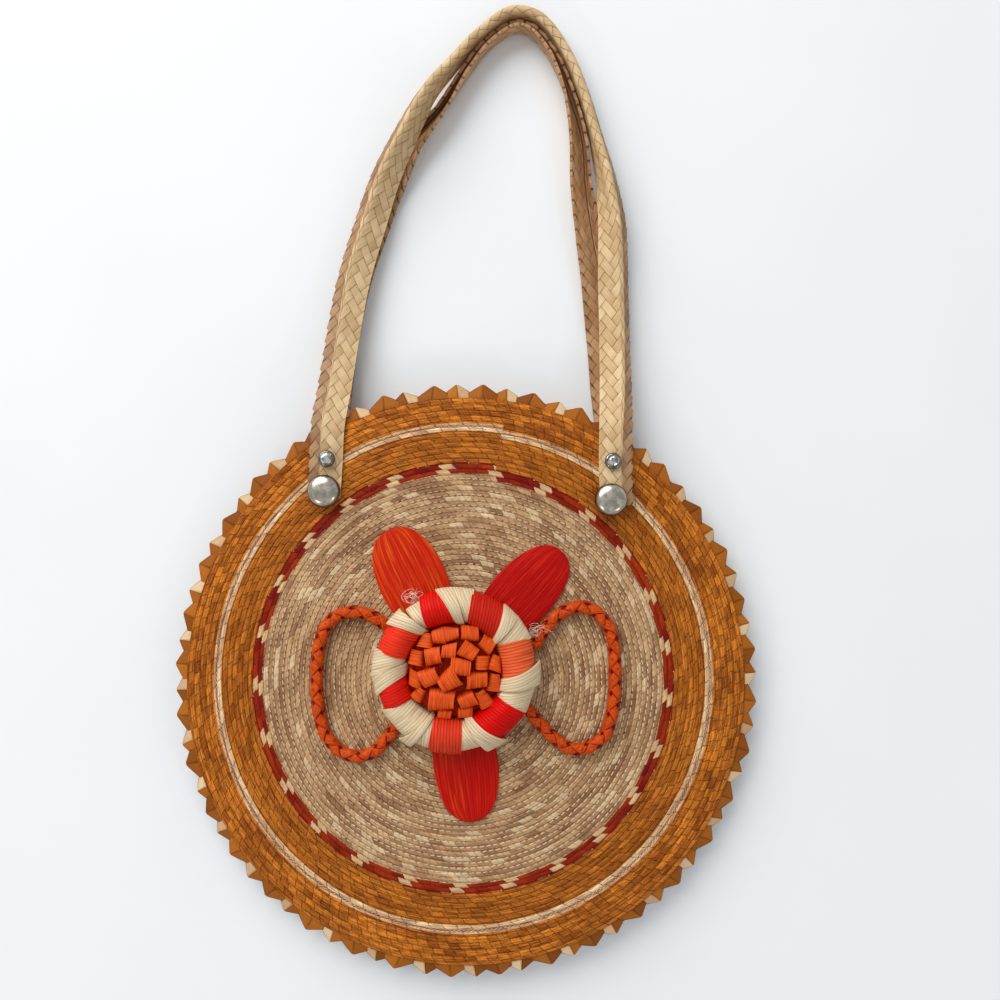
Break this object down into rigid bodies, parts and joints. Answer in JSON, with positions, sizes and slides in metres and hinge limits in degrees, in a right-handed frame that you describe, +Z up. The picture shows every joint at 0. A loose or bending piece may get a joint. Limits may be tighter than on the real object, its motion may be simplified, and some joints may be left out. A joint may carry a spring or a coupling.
{
  "type": "round woven palm tote bag",
  "caption": "Round tote bag of spiral-sewn palm discs with a toothed edge, plaited palm strap handles, metal rivets and a folded palm flower with cord loops on its front, lying on its back.",
  "frame": {"origin": "middle of the back disc on the surface where the bag rests", "axes": "+Z up out of the front disc, +Y from the discs towards the handles, +X to the right seen from the front"},
  "size_m": [0.3308, 0.5533, 0.0524],
  "materials": {
    "palm_disc": "spiral-sewn plaited palm, natural middle and dyed orange border, matt",
    "palm_orange": "folded palm dyed orange, matt",
    "palm_straw": "plaited natural palm, light sheen",
    "palm_cream": "natural palm strip, ribbed, light sheen",
    "palm_red": "palm strip dyed red, ribbed, light sheen",
    "palm_flame": "palm strip dyed orange red, ribbed",
    "palm_cord": "braided palm cord dyed orange red",
    "nickel": "satin nickel",
    "stone_nickel": "clear cut stone in a polished setting"
  },
  "bodies": {
    "root": {"front_disc": "palm_disc", "back_disc": "palm_disc", "edge_teeth": "palm_orange", "front_handle": "palm_straw", "back_handle": "palm_straw", "front_dome_rivet_left": "nickel", "front_stone_rivet_left": "stone_nickel", "back_dome_rivet_left": "nickel", "back_plain_rivet_left": "nickel", "front_dome_rivet_right": "nickel", "front_stone_rivet_right": "stone_nickel", "back_dome_rivet_right": "nickel", "back_plain_rivet_right": "nickel", "flower_base": "palm_cream", "flower_curls": "palm_flame", "red_wrap_1": "palm_red", "red_wrap_2": "palm_red", "red_wrap_3": "palm_red", "red_wrap_4": "palm_red", "red_wrap_5": "palm_red", "red_wrap_6": "palm_red", "red_wrap_7": "palm_red", "cream_fold_1": "palm_cream", "cream_fold_2": "palm_cream", "cream_fold_3": "palm_cream", "cream_fold_4": "palm_cream", "cream_fold_5": "palm_cream", "cream_fold_6": "palm_cream", "cream_fold_7": "palm_cream", "leaf_upper_left": "palm_red", "leaf_upper_right": "palm_red", "leaf_bottom": "palm_red", "cord_loop_left": "palm_cord", "cord_loop_right": "palm_cord"}
  },
  "joints": []
}
